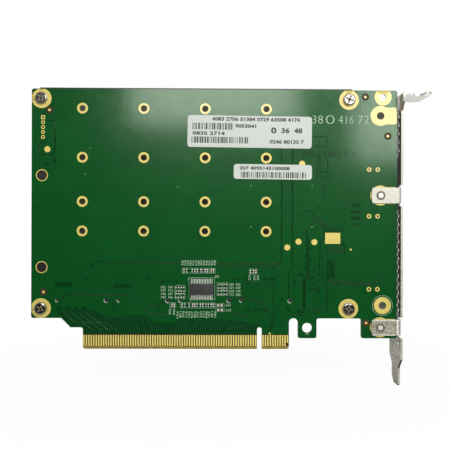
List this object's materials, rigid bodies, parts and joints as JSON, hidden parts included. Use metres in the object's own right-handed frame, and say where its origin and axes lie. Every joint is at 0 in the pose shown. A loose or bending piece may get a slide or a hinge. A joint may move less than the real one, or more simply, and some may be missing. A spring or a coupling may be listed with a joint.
{
  "type": "nvme adapter card",
  "caption": "Expansion card that carries M.2 storage modules in a full-height slot, with gold edge contacts, a vented mounting bracket and a finned heatsink cover.",
  "frame": {"origin": "centre of the contact key notch, on the lead-in edge of the contacts, halfway through the board", "axes": "+X towards the mounting bracket, +Y out of the component side, +Z away from the slot"},
  "size_m": [0.1625, 0.0216, 0.1232],
  "materials": {
    "board": "green solder mask over glass-fibre laminate, semi-gloss",
    "contact_gold": "gold plating",
    "socket_plastic": "moulded black plastic",
    "pad_grey": "soft grey silicone pad",
    "tinned_metal": "tinned",
    "cover_black": "black anodised",
    "screw_nickel": "nickel plated",
    "bracket_steel": "nickel plated sheet, fine brushing",
    "chip_black": "moulded epoxy",
    "resistor_brown": "dark film on ceramic, tinned ends",
    "capacitor_tan": "fired ceramic, tinned ends",
    "inductor_grey": "pressed iron powder",
    "capacitor_can": "bright can on a black base",
    "label_paper": "matt white label"
  },
  "bodies": {
    "root": {"circuit_board": "board", "edge_contacts_solder_side": "contact_gold", "edge_contacts_component_side": "contact_gold", "m2_socket_1": "socket_plastic", "m2_socket_2": "socket_plastic", "m2_socket_3": "socket_plastic", "m2_socket_4": "socket_plastic", "thermal_pad_1": "pad_grey", "thermal_pad_2": "pad_grey", "thermal_pad_3": "pad_grey", "thermal_pad_4": "pad_grey", "socket_lugs": "tinned_metal", "heatsink_cover": "cover_black", "cover_screws": "screw_nickel", "mounting_bracket": "bracket_steel", "bracket_screws": "screw_nickel", "clock_buffer_body": "chip_black", "clock_buffer_leads": "tinned_metal", "chip_resistors": "resistor_brown", "chip_capacitors": "capacitor_tan", "power_inductors": "inductor_grey", "regulator_chips": "chip_black", "bulk_capacitors": "capacitor_can", "ceramic_capacitors": "capacitor_tan", "large_label": "label_paper", "small_label": "label_paper"}
  },
  "joints": []
}
